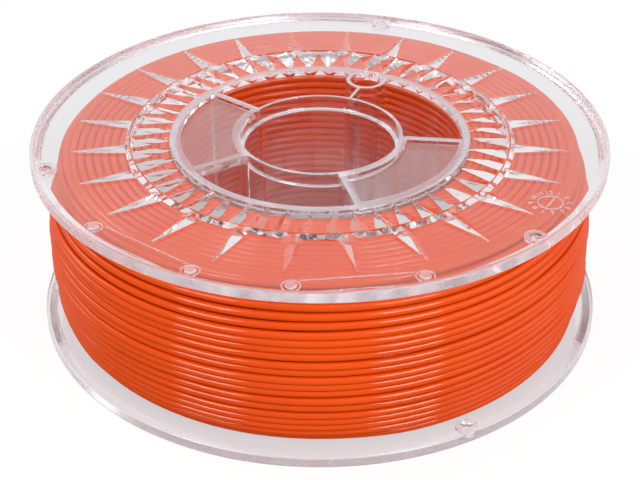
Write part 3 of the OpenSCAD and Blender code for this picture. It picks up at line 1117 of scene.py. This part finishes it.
class SPOOL_OT_outer_layers(Operator):
    """Winds the outer layer of the strand and the layer that shows between its turns"""

    bl_idname = "spool.outer_layers"
    bl_label = "Outer layers"

    def execute(self, context):
        sizes = winding_sizes()
        random = np.random.default_rng(sizes.seed)
        half = sizes.strand / 2
        low = LAYERS_LOW.z + half
        high = LAYERS_HIGH.z - half
        laid = [[] for _ in range(sizes.points_per_turn)]
        heights = wound_heights(random, sizes.under_turns, high, low)
        most = winding_radius(heights) - half - UNDER_DEPTH * sizes.strand
        radii = resting_radii(heights, laid, most - UNDER_SINK * sizes.strand)
        strand("filament_under_turns", np.minimum(radii, most), heights)
        heights = wound_heights(random, sizes.outer_turns, low, high)
        most = winding_radius(heights) - half + sizes.crest
        sway = stray(random, len(heights), LAYER_KNOTS, sizes.sway)
        radii = resting_radii(heights, laid, most - sizes.crest - OUTER_SINK * sizes.strand + sway)
        radii = np.minimum(radii, most)
        order = np.arange(len(radii))
        dive = np.clip(1 - np.minimum(order, order[::-1]) / DIVE_POINTS, 0, 1)
        radii -= DIVE_DEPTH * sizes.strand * dive ** 2
        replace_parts(strand("filament_outer_turns", radii, heights), "filament_outer_layer")
        return {"FINISHED"}


class SPOOL_OT_inner_layers(Operator):
    """Builds the layers under the outer ones, with their rings against both flanges and the drum"""

    bl_idname = "spool.inner_layers"
    bl_label = "Inner layers"

    def execute(self, context):
        sizes = winding_sizes()
        random = np.random.default_rng(sizes.seed + 1)
        half = sizes.strand / 2
        low = LAYERS_LOW.z + half
        high = LAYERS_HIGH.z - half
        inner = hub_sizes().drum_radius + sizes.drum_gap + half
        outline = [(inner, low, 0)]
        for z in np.linspace(low, high, BODY_STEPS):
            outline.append((winding_radius(z) - BODY_DEPTH * sizes.strand, z, 0))
        outline.append((inner, high, 0))
        body = show(lathe("filament_body", outline), "filament_body", filament())
        dress(smoothed(body), "filament", "filament_inner_layers")
        points = sizes.points_per_turn
        count = int(sizes.side_turns * points)
        for name, height, side, edge in (
            ("filament_upper_rings", high, -1, sizes.upper_radius),
            ("filament_lower_rings", low, 1, sizes.lower_radius),
        ):
            spiral = np.clip((np.arange(count) - points) / (count - 2 * points), 0, 1)
            radii = inner + (edge - sizes.ring_inset - inner) * spiral
            radii = radii + stray(random, count, RING_KNOTS, sizes.ring_stray) * np.sqrt(spiral)
            depth = sizes.ring_depth + stray(random, count, DEPTH_KNOTS, sizes.ring_depth)
            strand(name, radii, height + side * depth)
        count = int(sizes.drum_turns * points)
        heights = np.linspace(low, high, count) + stray(random, count, RING_KNOTS, sizes.ring_stray)
        strand("filament_drum_turns", np.full(count, inner), np.clip(heights, low, high))
        return {"FINISHED"}


# Stage


def studio_floor():
    """Pale floor that stays white to the eye and keeps the spool's shadow."""
    material, tree, shader = new_material("studio_floor")
    if tree is None:
        return material
    finish = {"Base Color": (*spool_colours().floor, 1.0), "Roughness": 0.9, "Specular IOR Level": 0.1}
    set_inputs(tree, shader, finish)
    glow = add_node(tree, "ShaderNodeEmission", {"Color": (1, 1, 1, 1), "Strength": FLOOR_GLOW})
    ray = add_node(tree, "ShaderNodeLightPath").outputs
    share = 0.0
    for kind, part in FLOOR_SHARES.items():
        share = maths(tree, "MAXIMUM", share, maths(tree, "MULTIPLY", ray[kind], part))
    show_mix(tree, share, shader, glow)
    return material


def studio_world(setup, turn):
    """Surroundings with a dim front, a white back and a ceiling."""
    world = bpy.data.worlds.new("studio")
    world.use_nodes = True
    tree = world.node_tree
    aim = add_node(tree, "ShaderNodeTexCoord").outputs["Generated"]
    back = {0: aim, 1: turn @ Vector((0, 1, 0))}
    ahead = add_node(tree, "ShaderNodeVectorMath", back, operation="DOT_PRODUCT").outputs["Value"]
    upward = add_node(tree, "ShaderNodeSeparateXYZ", {0: aim}).outputs["Z"]
    behind = ramp(tree, ahead, BACK_SPAN, 0.0, 1.0)
    dimmed = ramp(tree, upward, DIM_SPAN, 1.0, setup.ceiling)
    above = ramp(tree, upward, CEILING_SPAN, 0.0, setup.ceiling)
    share = maths(tree, "MAXIMUM", maths(tree, "MULTIPLY", behind, dimmed), above)
    level = ramp(tree, share, (0.0, 1.0), setup.world_low, setup.world_high)
    set_inputs(tree, tree.nodes["Background"], {"Color": (1, 1, 1, 1), "Strength": level})
    return world


def soft_box(name, place, size, power):
    """A square soft lamp that looks at the spool."""
    lamp = bpy.data.lights.new(name, "AREA")
    lamp.size = size
    lamp.energy = power
    holder = show(lamp, name)
    holder.location = place
    holder.rotation_euler = (Vector((0, 0, LAMP_AIM)) - place).to_track_quat("-Z", "Y").to_euler()


def studio_camera(setup, turn):
    """The camera at the photograph's place."""
    lens = bpy.data.cameras.new("camera")
    lens.lens = setup.lens
    lens.sensor_width = SENSOR
    lens.clip_start = NEAR_LIMIT
    camera = show(lens, "camera")
    place = Matrix.Translation((setup.side_step, -setup.distance, setup.height))
    look = Matrix.Rotation(-setup.yaw, 4, "Z") @ Matrix.Rotation(math.pi / 2 - setup.pitch, 4, "X")
    camera.matrix_world = turn @ place @ look
    return camera


class SPOOL_OT_stage(Operator):
    """Sets the floor, the lamps, the surroundings and the camera"""

    bl_idname = "spool.stage"
    bl_label = "Stage"

    def execute(self, context):
        scene = context.scene
        setup = scene.spool_stage
        shape = bmesh.new()
        bmesh.ops.create_grid(shape, x_segments=1, y_segments=1, size=FLOOR_HALF)
        show(mesh_of(shape, "studio_floor"), "studio_floor", studio_floor())
        turn = Matrix.Rotation(setup.azimuth, 4, "Z")
        scene.world = studio_world(setup, turn)
        # Each lamp's angle from the camera to the right and its angle above the floor are in degrees
        for name, azimuth, rise, size, power in (
            ("left_box", -47, 36, setup.box_size, setup.left),
            ("right_box", 36, 36, setup.box_size, setup.right),
            ("left_side_box", -118, 38, setup.box_size, setup.left_side),
            ("right_side_box", 78, 25, setup.side_box_size, setup.right_side),
        ):
            swing = Matrix.Rotation(math.radians(azimuth), 4, "Z")
            lift = Matrix.Rotation(math.radians(-rise), 4, "X")
            soft_box(name, turn @ swing @ lift @ Vector((0, -LAMP_DISTANCE, 0)), size, power)
        scene.camera = studio_camera(setup, turn)
        scene.view_settings.view_transform = "Standard"
        cycles = scene.cycles
        cycles.max_bounces = BOUNCES
        cycles.transmission_bounces = BOUNCES
        cycles.transparent_max_bounces = BOUNCES
        cycles.glossy_bounces = BOUNCES
        cycles.caustics_refractive = False
        cycles.caustics_reflective = False
        return {"FINISHED"}


class SPOOL_PT_sidebar(Panel):
    """Lists the spool's sizes, colours and building steps"""

    bl_label = "Filament Spool"
    bl_idname = "SPOOL_PT_sidebar"
    bl_space_type = "VIEW_3D"
    bl_region_type = "UI"
    bl_category = "Spool"

    def draw(self, context):
        for name in SETTINGS:
            group = getattr(context.scene, name)
            box = self.layout.box()
            box.label(text=type(group).__name__)
            for field in type(group).__annotations__:
                box.prop(group, field)
        for operator in STEPS:
            self.layout.operator(operator.bl_idname)


SETTINGS = {
    "spool_flange": FlangeSizes,
    "spool_marks": MarkSizes,
    "spool_hub": HubSizes,
    "spool_winding": WindingSizes,
    "spool_colours": SpoolColours,
    "spool_stage": StageSetup,
}
STEPS = (
    SPOOL_OT_flanges,
    SPOOL_OT_core,
    SPOOL_OT_outer_layers,
    SPOOL_OT_inner_layers,
    SPOOL_OT_stage,
)
CLASSES = (*SETTINGS.values(), *STEPS, SPOOL_PT_sidebar)


def register():
    for cls in CLASSES:
        bpy.utils.register_class(cls)
    for name, group in SETTINGS.items():
        setattr(bpy.types.Scene, name, PointerProperty(type=group))


def unregister():
    for name in SETTINGS:
        delattr(bpy.types.Scene, name)
    for cls in reversed(CLASSES):
        bpy.utils.unregister_class(cls)


def main():
    register()
    bpy.ops.spool.stage()
    bpy.ops.spool.flanges()
    bpy.ops.spool.core()
    bpy.ops.spool.outer_layers()
    bpy.ops.spool.inner_layers()


if __name__ == "__main__":
    main()
